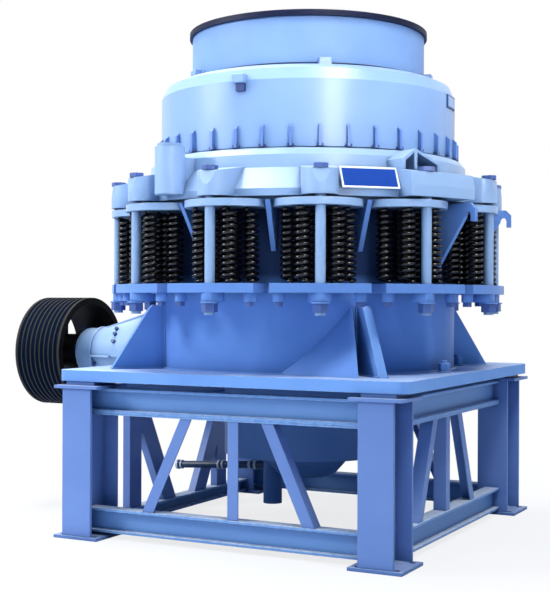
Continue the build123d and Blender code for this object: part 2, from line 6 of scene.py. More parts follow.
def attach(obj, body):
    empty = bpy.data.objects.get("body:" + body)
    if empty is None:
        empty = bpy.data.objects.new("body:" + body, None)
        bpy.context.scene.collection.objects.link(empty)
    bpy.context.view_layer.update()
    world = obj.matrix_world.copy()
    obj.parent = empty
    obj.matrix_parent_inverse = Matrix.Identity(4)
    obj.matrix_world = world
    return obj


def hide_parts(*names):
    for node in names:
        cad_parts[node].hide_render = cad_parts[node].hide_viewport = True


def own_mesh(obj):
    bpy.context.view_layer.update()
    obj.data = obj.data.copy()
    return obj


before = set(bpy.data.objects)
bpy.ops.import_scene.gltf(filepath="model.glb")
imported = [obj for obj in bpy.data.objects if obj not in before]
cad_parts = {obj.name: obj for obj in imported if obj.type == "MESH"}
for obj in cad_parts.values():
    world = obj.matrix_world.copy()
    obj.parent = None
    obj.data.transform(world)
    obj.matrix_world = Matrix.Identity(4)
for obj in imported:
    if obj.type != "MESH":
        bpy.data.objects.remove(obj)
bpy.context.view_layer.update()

bpy.ops.object.select_all(action="DESELECT")

# Camera: chest height off the stand's right front corner, about 6 m away and
# level, with a long lens. The small shift is the photograph's framing.
frame_pixels = 592
focal_pixels = 1219.53
shift_pixels = 5.14
view_data = bpy.data.cameras.new("photo_camera")
view_data.sensor_fit = "VERTICAL"
view_data.sensor_height = 36
view_data.lens = view_data.sensor_height * focal_pixels / frame_pixels
view_data.shift_y = shift_pixels / frame_pixels
view_data.clip_end = 100
photo_camera = bpy.data.objects.new("photo_camera", view_data)
bpy.context.scene.collection.objects.link(photo_camera)
azimuth = math.radians(25.817)
yaw = math.radians(1.51)
roll = math.radians(0.217)
stand_off = 5.9705
eye_height = 1.081
eye = Vector((stand_off * math.sin(azimuth), -stand_off * math.cos(azimuth), eye_height))
ahead = Vector((-math.sin(azimuth), math.cos(azimuth), 0))
ahead.rotate(Matrix.Rotation(yaw, 3, "Z"))
level_right = Vector((ahead.y, -ahead.x, 0))
right = level_right * math.cos(roll) + Vector((0, 0, math.sin(roll)))
above = right.cross(ahead)
photo_camera.matrix_world = Matrix((
    (right.x, above.x, -ahead.x, eye.x),
    (right.y, above.y, -ahead.y, eye.y),
    (right.z, above.z, -ahead.z, eye.z),
    (0, 0, 0, 1)))
bpy.context.scene.camera = photo_camera

# Studio: a white surround that camera, gloss and glass see as plain white, with
# soft light from above and the left, four lamps and a pale floor.
bpy.context.scene.view_settings.view_transform = "Standard"
surround = bpy.data.worlds.new("surround")
bpy.context.scene.world = surround
surround.use_nodes = True
sky = surround.node_tree
sky.nodes.clear()
sky_out = sky.nodes.new("ShaderNodeOutputWorld")
sky_mix = sky.nodes.new("ShaderNodeMixShader")
seen_white = sky.nodes.new("ShaderNodeBackground")
seen_white.inputs["Color"].default_value = (1, 1, 1, 1)
seen_white.inputs["Strength"].default_value = 1.0
soft_fill = sky.nodes.new("ShaderNodeBackground")
soft_fill.inputs["Color"].default_value = (0.44, 0.74, 1.0, 1)
sky_place = sky.nodes.new("ShaderNodeTexCoord")
sky_side = sky.nodes.new("ShaderNodeVectorMath")
sky_side.operation = "DOT_PRODUCT"
sky_side.inputs[1].default_value = (-0.60, -0.30, 0.74)
sky_level = sky.nodes.new("ShaderNodeMapRange")
sky_level.inputs["From Min"].default_value = -0.5
sky_level.inputs["From Max"].default_value = 0.9
sky_level.inputs["To Min"].default_value = 0.19
sky_level.inputs["To Max"].default_value = 0.62
sky.links.new(sky_place.outputs["Generated"], sky_side.inputs[0])
sky.links.new(sky_side.outputs["Value"], sky_level.inputs["Value"])
sky.links.new(sky_level.outputs["Result"], soft_fill.inputs["Strength"])
ray = sky.nodes.new("ShaderNodeLightPath")
seen = sky.nodes.new("ShaderNodeMath")
seen.operation = "MAXIMUM"
seen_all = sky.nodes.new("ShaderNodeMath")
seen_all.operation = "MAXIMUM"
sky.links.new(ray.outputs["Is Camera Ray"], seen.inputs[0])
sky.links.new(ray.outputs["Is Transmission Ray"], seen.inputs[1])
sky.links.new(seen.outputs[0], seen_all.inputs[0])
sky.links.new(ray.outputs["Is Glossy Ray"], seen_all.inputs[1])
sky.links.new(seen_all.outputs[0], sky_mix.inputs["Fac"])
sky.links.new(soft_fill.outputs[0], sky_mix.inputs[1])
sky.links.new(seen_white.outputs[0], sky_mix.inputs[2])
sky.links.new(sky_mix.outputs[0], sky_out.inputs["Surface"])
for lamp_name, lamp_size, power, spread, aim_height, lamp_at in (
        ("key_lamp", 1.8, 330, 180, 1.3, (-4.9, -4.3, 4.2)),
        ("right_lamp", 1.6, 330, 180, 1.3, (2.7, -1.9, 7.0)),
        ("top_lamp", 2.6, 420, 180, 1.3, (-1.9, 0.1, 6.2)),
        ("cap_lamp", 1.8, 7, 16, 2.25, (4.3, -4.4, 3.4))):
    lamp_data = bpy.data.lights.new(lamp_name, "AREA")
    lamp_data.shape = "SQUARE"
    lamp_data.size = lamp_size
    lamp_data.spread = math.radians(spread)
    lamp_data.color = (1.0, 0.97, 0.94)
    lamp_data.energy = power
    lamp = bpy.data.objects.new(lamp_name, lamp_data)
    bpy.context.scene.collection.objects.link(lamp)
    aim = Vector((0, 0, aim_height)) - Vector(lamp_at)
    lamp.matrix_world = Matrix.Translation(lamp_at) @ aim.to_track_quat("-Z", "Y").to_matrix().to_4x4()
bpy.ops.mesh.primitive_grid_add(x_subdivisions=8, y_subdivisions=8, size=60, location=(0, 0, 0))
floor = bpy.context.active_object
floor.name = "studio_floor"
floor_paint = bpy.data.materials.new("floor_white")
floor_paint.use_nodes = True
floor_tree = floor_paint.node_tree
floor_tree.nodes.clear()
floor_out = floor_tree.nodes.new("ShaderNodeOutputMaterial")
floor_mix = floor_tree.nodes.new("ShaderNodeMixShader")
floor_matt = floor_tree.nodes.new("ShaderNodeBsdfDiffuse")
floor_matt.inputs["Color"].default_value = (0.64, 0.69, 0.78, 1)
floor_glow = floor_tree.nodes.new("ShaderNodeEmission")
floor_glow.inputs["Color"].default_value = (1, 1, 1, 1)
floor_glow.inputs["Strength"].default_value = 1.0
floor_place = floor_tree.nodes.new("ShaderNodeTexCoord")
floor_reach = floor_tree.nodes.new("ShaderNodeVectorMath")
floor_reach.operation = "LENGTH"
floor_fade = floor_tree.nodes.new("ShaderNodeMapRange")
floor_fade.inputs["From Min"].default_value = 0.8
floor_fade.inputs["From Max"].default_value = 3.0
floor_fade.inputs["To Min"].default_value = 0.80
floor_fade.inputs["To Max"].default_value = 1.0
floor_ray = floor_tree.nodes.new("ShaderNodeLightPath")
floor_seen = floor_tree.nodes.new("ShaderNodeMath")
floor_seen.operation = "MULTIPLY"
floor_tree.links.new(floor_place.outputs["Object"], floor_reach.inputs[0])
floor_tree.links.new(floor_reach.outputs["Value"], floor_fade.inputs["Value"])
floor_tree.links.new(floor_fade.outputs["Result"], floor_seen.inputs[0])
floor_tree.links.new(floor_ray.outputs["Is Camera Ray"], floor_seen.inputs[1])
floor_tree.links.new(floor_seen.outputs[0], floor_mix.inputs["Fac"])
floor_tree.links.new(floor_matt.outputs[0], floor_mix.inputs[1])
floor_tree.links.new(floor_glow.outputs[0], floor_mix.inputs[2])
floor_tree.links.new(floor_mix.outputs[0], floor_out.inputs["Surface"])
floor.data.materials.append(floor_paint)

# Columns: rolled H sections, cut square and welded to their plates. The blue
# enamel is sprayed on, thin at the edges, dull where dust lies on flat tops. The
# shared enamel also paints shade into corners and recesses and, turned up, paints
# highlights on edges and flat tops.
sprayed = bpy.data.node_groups.new("sprayed_enamel", "ShaderNodeTree")
for title, kind in (("Paint", "NodeSocketColor"), ("Thin paint", "NodeSocketColor"), ("Worn edge and highlight", "NodeSocketColor"),
                    ("Gloss", "NodeSocketFloat"), ("Dust and highlight", "NodeSocketFloat"), ("Wear and highlight", "NodeSocketFloat"),
                    ("Corner shade", "NodeSocketFloat")):
    sprayed.interface.new_socket(name=title, in_out="INPUT", socket_type=kind)
for title, kind in (("Color", "NodeSocketColor"), ("Roughness", "NodeSocketFloat"),
                    ("Height", "NodeSocketFloat"), ("Edge normal", "NodeSocketVector")):
    sprayed.interface.new_socket(name=title, in_out="OUTPUT", socket_type=kind)
given = sprayed.nodes.new("NodeGroupInput")
result = sprayed.nodes.new("NodeGroupOutput")


def group_node(kind, operation=None, **values):
    node = sprayed.nodes.new(kind)
    if operation:
        node.operation = operation
    for title, value in values.items():
        node.inputs[title.replace("_", " ")].default_value = value
    return node


where = group_node("ShaderNodeTexCoord")
cloud = group_node("ShaderNodeTexNoise", Scale=3.2, Detail=4.0)
cloud_share = group_node("ShaderNodeMapRange", From_Min=0.35, From_Max=0.75)
tint = group_node("ShaderNodeMix")
tint.data_type = "RGBA"
peel = group_node("ShaderNodeTexNoise", Scale=160.0, Detail=2.0)
speck = group_node("ShaderNodeTexNoise", Scale=38.0, Detail=6.0)
rounded = group_node("ShaderNodeBevel", Radius=0.004)
rounded.samples = 4
flat = group_node("ShaderNodeNewGeometry")
bend = group_node("ShaderNodeVectorMath", "DOT_PRODUCT")
edge = group_node("ShaderNodeMapRange", From_Min=0.94, From_Max=0.72)
chipped = group_node("ShaderNodeMapRange", From_Min=0.42, From_Max=0.6)
edge_chips = group_node("ShaderNodeMath", "MULTIPLY")
edge_share = group_node("ShaderNodeMath", "MULTIPLY")
# Edges take the worn-edge colour through chips in the paint; a pale colour turned up high paints a highlight along
# them.
worn_and_lit_edges = group_node("ShaderNodeMix")
worn_and_lit_edges.data_type = "RGBA"
# Painted shade: the ambient occlusion darkens corners, creases and recesses towards a dark teal, scaled by each
# finish's corner shade.
corner = group_node("ShaderNodeAmbientOcclusion", Distance=0.07)
corner.samples = 4
corner_share = group_node("ShaderNodeMapRange", From_Min=0.85, From_Max=0.25)
corner_shade_share = group_node("ShaderNodeMath", "MULTIPLY")
corner_shaded = group_node("ShaderNodeMix")
corner_shaded.data_type = "RGBA"
corner_shaded.inputs["B"].default_value = (0.012, 0.062, 0.17, 1)
# Flat tops take pale dust; turned up high it paints a highlight on them.
upward = group_node("ShaderNodeSeparateXYZ")
flat_top = group_node("ShaderNodeMapRange", From_Min=0.6, From_Max=0.98)
dust_and_highlight_cover = group_node("ShaderNodeMath", "MULTIPLY")
dust_and_highlight_patch = group_node("ShaderNodeMath", "MULTIPLY")
dusted_and_lit = group_node("ShaderNodeMix")
dusted_and_lit.data_type = "RGBA"
dusted_and_lit.inputs["B"].default_value = (0.62, 0.66, 0.72, 1)
rough = group_node("ShaderNodeMath", "MULTIPLY_ADD")
rough.inputs[1].default_value = 0.12
dust_rough = group_node("ShaderNodeMath", "MULTIPLY_ADD")
dust_rough.inputs[1].default_value = 0.3
for start, end in (
        (where.outputs["Object"], cloud.inputs["Vector"]), (where.outputs["Object"], peel.inputs["Vector"]),
        (where.outputs["Object"], speck.inputs["Vector"]), (cloud.outputs["Fac"], cloud_share.inputs["Value"]),
        (cloud_share.outputs["Result"], tint.inputs["Factor"]), (given.outputs["Paint"], tint.inputs["A"]),
        (given.outputs["Thin paint"], tint.inputs["B"]), (rounded.outputs["Normal"], bend.inputs[0]),
        (flat.outputs["Normal"], bend.inputs[1]), (bend.outputs["Value"], edge.inputs["Value"]),
        (speck.outputs["Fac"], chipped.inputs["Value"]), (edge.outputs["Result"], edge_chips.inputs[0]),
        (chipped.outputs["Result"], edge_chips.inputs[1]), (edge_chips.outputs[0], edge_share.inputs[0]),
        (given.outputs["Wear and highlight"], edge_share.inputs[1]), (edge_share.outputs[0], worn_and_lit_edges.inputs["Factor"]),
        (tint.outputs["Result"], worn_and_lit_edges.inputs["A"]), (given.outputs["Worn edge and highlight"], worn_and_lit_edges.inputs["B"]),
        (corner.outputs["AO"], corner_share.inputs["Value"]), (corner_share.outputs["Result"], corner_shade_share.inputs[0]),
        (given.outputs["Corner shade"], corner_shade_share.inputs[1]), (corner_shade_share.outputs[0], corner_shaded.inputs["Factor"]),
        (worn_and_lit_edges.outputs["Result"], corner_shaded.inputs["A"]), (flat.outputs["Normal"], upward.inputs[0]),
        (upward.outputs["Z"], flat_top.inputs["Value"]), (flat_top.outputs["Result"], dust_and_highlight_cover.inputs[0]),
        (given.outputs["Dust and highlight"], dust_and_highlight_cover.inputs[1]), (dust_and_highlight_cover.outputs[0], dust_and_highlight_patch.inputs[0]),
        (speck.outputs["Fac"], dust_and_highlight_patch.inputs[1]), (dust_and_highlight_patch.outputs[0], dusted_and_lit.inputs["Factor"]),
        (corner_shaded.outputs["Result"], dusted_and_lit.inputs["A"]), (speck.outputs["Fac"], rough.inputs[0]),
        (given.outputs["Gloss"], rough.inputs[2]), (dust_and_highlight_patch.outputs[0], dust_rough.inputs[0]),
        (rough.outputs[0], dust_rough.inputs[2]), (dusted_and_lit.outputs["Result"], result.inputs["Color"]),
        (dust_rough.outputs[0], result.inputs["Roughness"]), (peel.outputs["Fac"], result.inputs["Height"]),
        (rounded.outputs["Normal"], result.inputs["Edge normal"])):
    sprayed.links.new(start, end)


def coated(name, paint, thin, edge_wear_and_highlight_color, gloss, dust_and_highlight, wear_and_highlight, corner_shade, relief_strength,
           specular=0.5, coat=0.0, coat_roughness=0.03):
    finish = bpy.data.materials.new(name)
    finish.use_nodes = True
    tree = finish.node_tree
    skin = tree.nodes["Principled BSDF"]
    layer = tree.nodes.new("ShaderNodeGroup")
    layer.node_tree = sprayed
    for title, value in (("Paint", paint), ("Thin paint", thin), ("Worn edge and highlight", edge_wear_and_highlight_color)):
        layer.inputs[title].default_value = (*value, 1)
    for title, value in (("Gloss", gloss), ("Dust and highlight", dust_and_highlight), ("Wear and highlight", wear_and_highlight), ("Corner shade", corner_shade)):
        layer.inputs[title].default_value = value
    relief = tree.nodes.new("ShaderNodeBump")
    relief.inputs["Strength"].default_value = relief_strength
    relief.inputs["Distance"].default_value = 0.002
    skin.inputs["Specular IOR Level"].default_value = specular
    skin.inputs["Coat Weight"].default_value = coat
    skin.inputs["Coat Roughness"].default_value = coat_roughness
    tree.links.new(layer.outputs["Color"], skin.inputs["Base Color"])
    tree.links.new(layer.outputs["Roughness"], skin.inputs["Roughness"])
    tree.links.new(layer.outputs["Height"], relief.inputs["Height"])
    tree.links.new(layer.outputs["Edge normal"], relief.inputs["Normal"])
    tree.links.new(relief.outputs["Normal"], skin.inputs["Normal"])
    return finish


def dress(finish, *names):
    for name in names:
        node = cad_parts[name]
        node.data.materials.clear()
        node.data.materials.append(finish)


stand_blue = coated(
    "stand_blue_enamel", paint=(0.135, 0.228, 0.52), thin=(0.152, 0.255, 0.56),
    edge_wear_and_highlight_color=(0.42, 0.55, 0.85), gloss=0.36, dust_and_highlight=0.5, wear_and_highlight=0.5, corner_shade=0.75, relief_strength=0.05, specular=0.3)
dress(stand_blue, "column_front_left", "column_front_right", "column_back_left", "column_back_right")

# Foot plates and cap plates: flame-cut steel, welded to the columns' ends. The
# cap plates carry short packing pads under the crusher's base plate.
dress(stand_blue, "foot_plates", "cap_plates")

# Beams: two rings of rolled I beams between the columns, welded at their ends
# and painted with the stand. The upper ring has a flat welded underneath. Their
# enamel is a paler copy of the stand's, painted light, with painted highlights
# on their edges and flange tops.
lit_beam_blue = coated(
    "beam_blue_enamel", paint=(0.165, 0.325, 0.65), thin=(0.19, 0.355, 0.69),
    edge_wear_and_highlight_color=(0.80, 0.88, 1.0), gloss=0.36, dust_and_highlight=1.4, wear_and_highlight=2.4, corner_shade=0.75, relief_strength=0.05, specular=0.3)
dress(lit_beam_blue, "bottom_beams", "top_beams")

# Braces: angle bars between the two rings of beams, cut level at both ends and
# welded on, their flat faces outwards.
dress(stand_blue, "front_braces", "right_braces", "back_braces", "left_braces")

# Base plate: a heavy square plate with rounded corners, the crusher's own foot.
# The crusher's glossier enamel is set here; the plate, its nuts and the corner
# ribs take a paler copy of it, painted light, with painted highlights on edges.
machine_blue = coated(
    "machine_blue_enamel", paint=(0.13, 0.265, 0.64), thin=(0.155, 0.305, 0.69),
    edge_wear_and_highlight_color=(0.45, 0.58, 0.86), gloss=0.30, dust_and_highlight=0.35, wear_and_highlight=0.4, corner_shade=0.75, relief_strength=0.04, specular=0.15)
plate_blue = coated(
    "plate_blue_lightened_enamel", paint=(0.17, 0.345, 0.74), thin=(0.20, 0.38, 0.78),
    edge_wear_and_highlight_color=(0.60, 0.72, 0.92), gloss=0.34, dust_and_highlight=0.8, wear_and_highlight=1.2, corner_shade=0.75, relief_strength=0.04, specular=0.1)
dress(plate_blue, "base_plate")

# Nuts on the base plate: hexagon nuts on washers beside the barrel's foot that
# clamp the crusher to the stand, painted over with the plate.
plate_top = 0.763
plate_nut_across = 0.050
plate_nut_height = 0.036


def settled(name):
    piece = bpy.context.active_object
    piece.name = name
    piece.data.name = name
    bpy.ops.object.transform_apply(location=True, rotation=True, scale=True)
    return piece


def one_piece(name, parts):
    bpy.ops.object.select_all(action="DESELECT")
    for part in parts:
        part.select_set(True)
    bpy.context.view_layer.objects.active = parts[0]
    if len(parts) > 1:
        bpy.ops.object.join()
    piece = bpy.context.active_object
    piece.name = name
    piece.data.name = name
    bpy.ops.object.select_all(action="DESELECT")
    return piece


def chamfered(piece, width, angle=40):
    rounding = piece.modifiers.new("edge", "BEVEL")
    rounding.width = width
    rounding.segments = 2
    rounding.limit_method = "ANGLE"
    rounding.angle_limit = math.radians(angle)
    bpy.context.view_layer.objects.active = piece
    bpy.ops.object.modifier_apply(modifier="edge")
    return piece


def copies(name, piece, places):
    parts = []
    for x, y, turn in places:
        part = piece.copy()
        part.data = piece.data.copy()
        bpy.context.scene.collection.objects.link(part)
        part.data.transform(Matrix.Translation((x, y, 0)) @ Matrix.Rotation(turn, 4, "Z"))
        parts.append(part)
    bpy.data.objects.remove(piece)
    return one_piece(name, parts)


def around(radius, angles):
    return [(radius * math.cos(math.radians(a)), radius * math.sin(math.radians(a)), math.radians(a)) for a in angles]


def fixed(piece, finish, body):
    piece.data.materials.clear()
    piece.data.materials.append(finish)
    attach(piece, body)
    return piece


def hex_nut(name, across, height, low, stud=0.0, stud_height=0.0):
    bpy.ops.mesh.primitive_cylinder_add(
        vertices=6, radius=across / 2 / math.cos(math.pi / 6), depth=height, location=(0, 0, low + height / 2))
    nut = settled(name)
    chamfered(nut, across * 0.05, 50)
    parts = [nut]
    if stud:
        bpy.ops.mesh.primitive_cylinder_add(
            vertices=16, radius=stud / 2, depth=height + stud_height, location=(0, 0, low + (height + stud_height) / 2))
        parts.append(chamfered(settled(name + "_stud"), stud * 0.06, 50))
    return one_piece(name, parts)


bpy.ops.mesh.primitive_cylinder_add(
    vertices=24, radius=plate_nut_across * 0.66, depth=0.006, location=(0, 0, plate_top + 0.003))
plate_washer = chamfered(settled("plate_washer"), 0.0015, 50)
plate_nut = one_piece("plate_nut", [
    hex_nut("plate_nut", plate_nut_across, plate_nut_height, plate_top + 0.006, 0.03, 0.012), plate_washer])
plate_nuts = copies("plate_nuts", plate_nut, around(0.764, (-143.1, -10.0, 36.9)))
fixed(plate_nuts, plate_blue, "frame")

# Barrel, corner ribs and corner web: thick plate, rolled or cut, and welded
# with full beads. Behind the springs the barrel is painted near black, a painted
# shadow of the spring flange above it.
dress(plate_blue, "corner_ribs")
dress(machine_blue, "corner_web")
barrel_blue = coated(
    "barrel_blue_enamel", paint=(0.125, 0.26, 0.64), thin=(0.15, 0.30, 0.69),
    edge_wear_and_highlight_color=(0.45, 0.58, 0.86), gloss=0.30, dust_and_highlight=0.35, wear_and_highlight=0.4, corner_shade=0.75, relief_strength=0.04, specular=0.06)
barrel_tree = barrel_blue.node_tree
barrel_skin = barrel_tree.nodes["Principled BSDF"]
barrel_place = barrel_tree.nodes.new("ShaderNodeTexCoord")
barrel_rise = barrel_tree.nodes.new("ShaderNodeSeparateXYZ")
# Painted shadow: from 1.13 m up the barrel's colour turns near black under the flange.
flange_shadow_height = barrel_tree.nodes.new("ShaderNodeMapRange")
flange_shadow_height.inputs["From Min"].default_value = 1.13
flange_shadow_height.inputs["From Max"].default_value = 1.20
flange_shadow_height.inputs["To Max"].default_value = 0.86
flange_shadowed = barrel_tree.nodes.new("ShaderNodeMix")
flange_shadowed.data_type = "RGBA"
flange_shadowed.inputs["B"].default_value = (0.005, 0.009, 0.035, 1)
barrel_layer = next(node for node in barrel_tree.nodes if node.type == "GROUP")
for start, end in (
        (barrel_place.outputs["Object"], barrel_rise.inputs[0]), (barrel_rise.outputs["Z"], flange_shadow_height.inputs["Value"]),
        (flange_shadow_height.outputs["Result"], flange_shadowed.inputs["Factor"]), (barrel_layer.outputs["Color"], flange_shadowed.inputs["A"]),
        (flange_shadowed.outputs["Result"], barrel_skin.inputs["Base Color"])):
    barrel_tree.links.new(start, end)
dress(barrel_blue, "frame_barrel")
barrel_radius = 0.712
bead = 0.009
bpy.ops.mesh.primitive_torus_add(
    major_radius=barrel_radius + bead * 0.2, minor_radius=bead, major_segments=96, minor_segments=6,
    location=(0, 0, plate_top))
barrel_weld = settled("barrel_weld")
rib_half = 0.020
rib_foot_reach = 0.963
rib_bead_top = 1.060
rib_beads = [barrel_weld]
for side in (-1, 1):
    for low_end, high_end in (
            ((barrel_radius, side * rib_half, plate_top), (rib_foot_reach, side * rib_half, plate_top)),
            ((barrel_radius, side * rib_half, plate_top), (barrel_radius, side * rib_half, rib_bead_top))):
        run = Vector(high_end) - Vector(low_end)
        middle = (Vector(high_end) + Vector(low_end)) / 2
        bpy.ops.mesh.primitive_cylinder_add(
            vertices=8, radius=bead * 0.75, depth=run.length, location=middle,
            rotation=run.to_track_quat("Z", "Y").to_euler())
        stick = settled("rib_bead")
        rib_beads.append(copies("rib_bead_set", stick, around(0, (-135, -45, 45, 135))))
welds = one_piece("frame_welds", rib_beads)
bpy.context.view_layer.objects.active = welds
bpy.ops.object.shade_smooth_by_angle(angle=math.radians(50))
fixed(welds, machine_blue, "frame")

# Spring flange with its ribs and lifting hooks: a machined ring with a round
# lobe for each group of springs, on ribs welded to the barrel. It has the paler
# enamel of the castings above it.
ring_blue = coated(
    "ring_blue_enamel", paint=(0.27, 0.41, 0.65), thin=(0.30, 0.45, 0.69),
    edge_wear_and_highlight_color=(0.55, 0.67, 0.90), gloss=0.30, dust_and_highlight=0.3, wear_and_highlight=0.35, corner_shade=0.7, relief_strength=0.06,
    specular=0.3, coat=0.35, coat_roughness=0.32)
dress(ring_blue, "frame_flange")
dress(machine_blue, "flange_ribs", "lifting_lugs")

# Springs: coils of round spring steel, dark from the hardening bath and lightly
# oiled, with closed ends. They stand between the lower seats and the lobes.
group_turn = -0.8
group_angles = [group_turn + 30 * k for k in range(12)]
spring_foot = 1.156
spring_head = 1.482
coil_radius = 0.0315
wire_radius = 0.0085
coil_turns = 12
outer_row = 0.882
inner_row = 0.800
spring_black = coated(
    "spring_steel", paint=(0.0015, 0.0015, 0.003), thin=(0.003, 0.002, 0.004),
    edge_wear_and_highlight_color=(0.02, 0.02, 0.03), gloss=0.03, dust_and_highlight=0.0, wear_and_highlight=0.0, corner_shade=0.0, relief_strength=0.0, specular=0.5)
bpy.ops.mesh.primitive_circle_add(
    vertices=6, radius=wire_radius, location=(coil_radius, 0, 0), rotation=(math.pi / 2, 0, 0))
coil = settled("coil")
rise = coil.modifiers.new("coil", "SCREW")
rise.angle = 2 * math.pi * coil_turns
rise.screw_offset = spring_head - spring_foot - 2 * wire_radius
rise.steps = 12 * coil_turns
rise.render_steps = rise.steps
rise.use_smooth_shade = True
bpy.context.view_layer.objects.active = coil
bpy.ops.object.modifier_apply(modifier="coil")
bpy.ops.object.mode_set(mode="EDIT")
bpy.ops.mesh.select_all(action="SELECT")
bpy.ops.mesh.fill_holes(sides=8)
bpy.ops.mesh.select_all(action="SELECT")
bpy.ops.mesh.normals_make_consistent(inside=False)
bpy.ops.mesh.select_all(action="DESELECT")
bpy.ops.object.mode_set(mode="OBJECT")
coil.data.transform(Matrix.Translation((0, 0, spring_foot + wire_radius)))
outer_places = around(outer_row, [a + s * 4.6 for a in group_angles for s in (-1, 1)])
inner_places = around(inner_row, [a + s * t for a in group_angles for t in (3, 9) for s in (-1, 1)])
second_coil = coil.copy()
second_coil.data = coil.data.copy()
bpy.context.scene.collection.objects.link(second_coil)
for name, first, places, node_name in (
        ("outer_coils", coil, outer_places, "outer_springs"),
        ("inner_coils", second_coil, inner_places, "inner_springs")):
    coils = copies(name, first, places)
    fixed(coils, spring_black, "frame")
    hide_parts(node_name)
    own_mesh(coils)

# Lower seats: curved steel castings hung on the rods, with a boss at each bolt.
# The big nuts under them and the side bolts take a darker copy of the blue,
# painted shade.
dress(machine_blue, "lower_seats")
# The rods take the paler ring enamel, a painted highlight for the light they catch.
dress(ring_blue, "spring_rods")
shaded_nut_blue = coated(
    "nut_blue_enamel", paint=(0.05, 0.10, 0.32), thin=(0.08, 0.15, 0.42),
    edge_wear_and_highlight_color=(0.40, 0.50, 0.75), gloss=0.30, dust_and_highlight=0.6, wear_and_highlight=0.6, corner_shade=0.9, relief_strength=0.04)
dress(shaded_nut_blue, "rod_nuts", "side_bolts")
rod_circle = 0.920
seat_boss_low = 1.078
bpy.ops.mesh.primitive_cylinder_add(vertices=28, radius=0.040, depth=0.007, location=(0, 0, seat_boss_low - 0.0035))
big_washer = chamfered(settled("rod_washer"), 0.0015, 50)
big_washers = copies("rod_washers", big_washer, around(rod_circle, group_angles))
fixed(big_washers, machine_blue, "release")

# Adjusting ring: a heavy steel casting, its cone and its bosses left a little
# rough under the enamel, which is thickest here.
dress(ring_blue, "adjusting_ring", "guard_post", "ring_bracket")

# Bare plate: a plain steel plate with a white border on two wedges, its foot on
# the ring's lip. It carries nothing.
sign_angle = math.radians(-45.9)
sign_width = 0.262
sign_height = 0.106
sign_lean = math.radians(27)
sign_thickness = 0.006


def bar(name, size, place, turn=(0, 0, 0), edge=0.0):
    bpy.ops.mesh.primitive_cube_add(size=1, location=place, rotation=turn)
    bpy.context.active_object.scale = size
    piece = settled(name)
    return chamfered(piece, edge) if edge else piece


sign_field = bar("bare_plate", (sign_width, sign_thickness, sign_height), (0, 0, 0))
bpy.ops.object.mode_set(mode="EDIT")
bpy.ops.mesh.select_all(action="DESELECT")
bpy.ops.object.mode_set(mode="OBJECT")
for side in sign_field.data.polygons:
    side.select = side.normal.y < -0.9
bpy.ops.object.mode_set(mode="EDIT")
bpy.ops.mesh.select_mode(type="FACE")
bpy.ops.mesh.inset(thickness=0.007, depth=0.0)
bpy.ops.mesh.inset(thickness=0.002, depth=-0.0012)
bpy.ops.object.mode_set(mode="OBJECT")
sign_white = coated(
    "plate_white_border", paint=(0.72, 0.78, 0.86), thin=(0.80, 0.84, 0.9),
    edge_wear_and_highlight_color=(0.9, 0.9, 0.9), gloss=0.3, dust_and_highlight=0.1, wear_and_highlight=0.2, corner_shade=0.3, relief_strength=0.02)
sign_blue = coated(
    "plate_blue_field", paint=(0.010, 0.052, 0.30), thin=(0.016, 0.066, 0.34),
    edge_wear_and_highlight_color=(0.3, 0.4, 0.7), gloss=0.6, dust_and_highlight=0.0, wear_and_highlight=0.2, corner_shade=0.3, relief_strength=0.02, specular=0.05)
sign_field.data.materials.append(sign_white)
sign_field.data.materials.append(sign_blue)
for side in sign_field.data.polygons:
    inner = abs(side.center.x) < 0.01 and abs(side.center.z) < 0.01 and side.center.y < -0.0005
    side.material_index = 1 if inner else 0
lean = Matrix.Rotation(-sign_lean, 4, "X")
stand_out = Matrix.Translation((0, -0.838, 1.606))
turn_to = Matrix.Rotation(sign_angle + math.pi / 2, 4, "Z")
sign_field.data.transform(turn_to @ stand_out @ lean)
plate_wedges = one_piece("plate_wedges", [
    bar("plate_wedge", (0.022, 0.034, 0.040), (side * 0.085, 0.020, 0.028)) for side in (-1, 1)])
plate_wedges.data.transform(turn_to @ stand_out @ lean)
fixed(plate_wedges, ring_blue, "release")
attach(sign_field, "release")

# Adjusting cap: a pressed and welded steel cap with fins round its foot, which
# a bar turns to set the crusher's gap.
cap_blue = coated(
    "cap_blue_enamel", paint=(0.22, 0.36, 0.645), thin=(0.26, 0.41, 0.69),
    edge_wear_and_highlight_color=(0.50, 0.62, 0.88), gloss=0.30, dust_and_highlight=0.25, wear_and_highlight=0.3, corner_shade=0.6, relief_strength=0.03,
    specular=0.35, coat=0.2, coat_roughness=0.3)
dress(cap_blue, "adjusting_cap")
# The fins take a darker copy of the cap's blue with full corner shade, painted shade for their shaded sides.
shaded_fin_blue = coated(
    "fin_blue_enamel", paint=(0.11, 0.23, 0.62), thin=(0.14, 0.28, 0.68),
    edge_wear_and_highlight_color=(0.50, 0.62, 0.88), gloss=0.30, dust_and_highlight=0.1, wear_and_highlight=0.3, corner_shade=1.0, relief_strength=0.03)
dress(shaded_fin_blue, "cap_fins")
cap_radius = 0.711
fin_foot = 1.7565
fin_count = 36
fin_pad = bar("fin_pad", (0.018, 0.030, 0.011), (cap_radius + 0.009, 0, fin_foot), edge=0.002)
fin_pads = copies("fin_pads", fin_pad, around(0, [360 / fin_count * k for k in range(fin_count)]))
pad_navy = coated(
    "pad_navy", paint=(0.02, 0.045, 0.17), thin=(0.03, 0.06, 0.22),
    edge_wear_and_highlight_color=(0.3, 0.4, 0.7), gloss=0.4, dust_and_highlight=0.0, wear_and_highlight=0.2, corner_shade=0.8, relief_strength=0.02)
fixed(fin_pads, pad_navy, "release")

